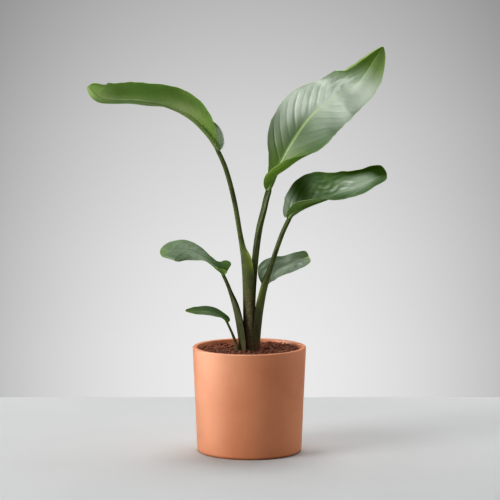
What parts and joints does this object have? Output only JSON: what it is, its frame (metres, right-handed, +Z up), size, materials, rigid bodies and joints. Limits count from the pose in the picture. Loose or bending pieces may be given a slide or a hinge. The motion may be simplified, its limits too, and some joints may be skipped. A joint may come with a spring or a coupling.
{
  "type": "potted bird of paradise plant",
  "caption": "Young bird of paradise plant in a terracotta cylinder pot, with pleated leaves that stand in a fan on long stalks clasping one another at the soil",
  "frame": {"origin": "the middle of the pot's flat base, on the pot's axis", "axes": "+Z points up out of the pot, -Y points to the front, where the viewer stands, and +X points to the side of the tall upright leaf"},
  "size_m": [0.4308, 0.1648, 0.5869],
  "materials": {
    "terracotta": "unglazed, smooth and matte, warm orange brown",
    "potting_soil": "loose, dark reddish brown crumbs with bark fibres and a few pale specks",
    "root": "fleshy, pale brown, hidden in the soil",
    "stalk": "smooth, satin, dark green with brown and yellow-green sheaths at the foot",
    "leaf": "satin, deep green with a pale sheen, pale midrib and brighter green below"
  },
  "bodies": {
    "root": {"pot": "terracotta", "soil": "potting_soil", "rootstock": "root", "arching_stalk": "stalk", "arching_blade": "leaf", "upright_stalk": "stalk", "upright_blade": "leaf", "cupped_stalk": "stalk", "cupped_blade": "leaf", "nodding_stalk": "stalk", "nodding_blade": "leaf", "rear_stalk": "stalk", "rear_blade": "leaf", "lowest_stalk": "stalk", "lowest_blade": "leaf"}
  },
  "joints": []
}
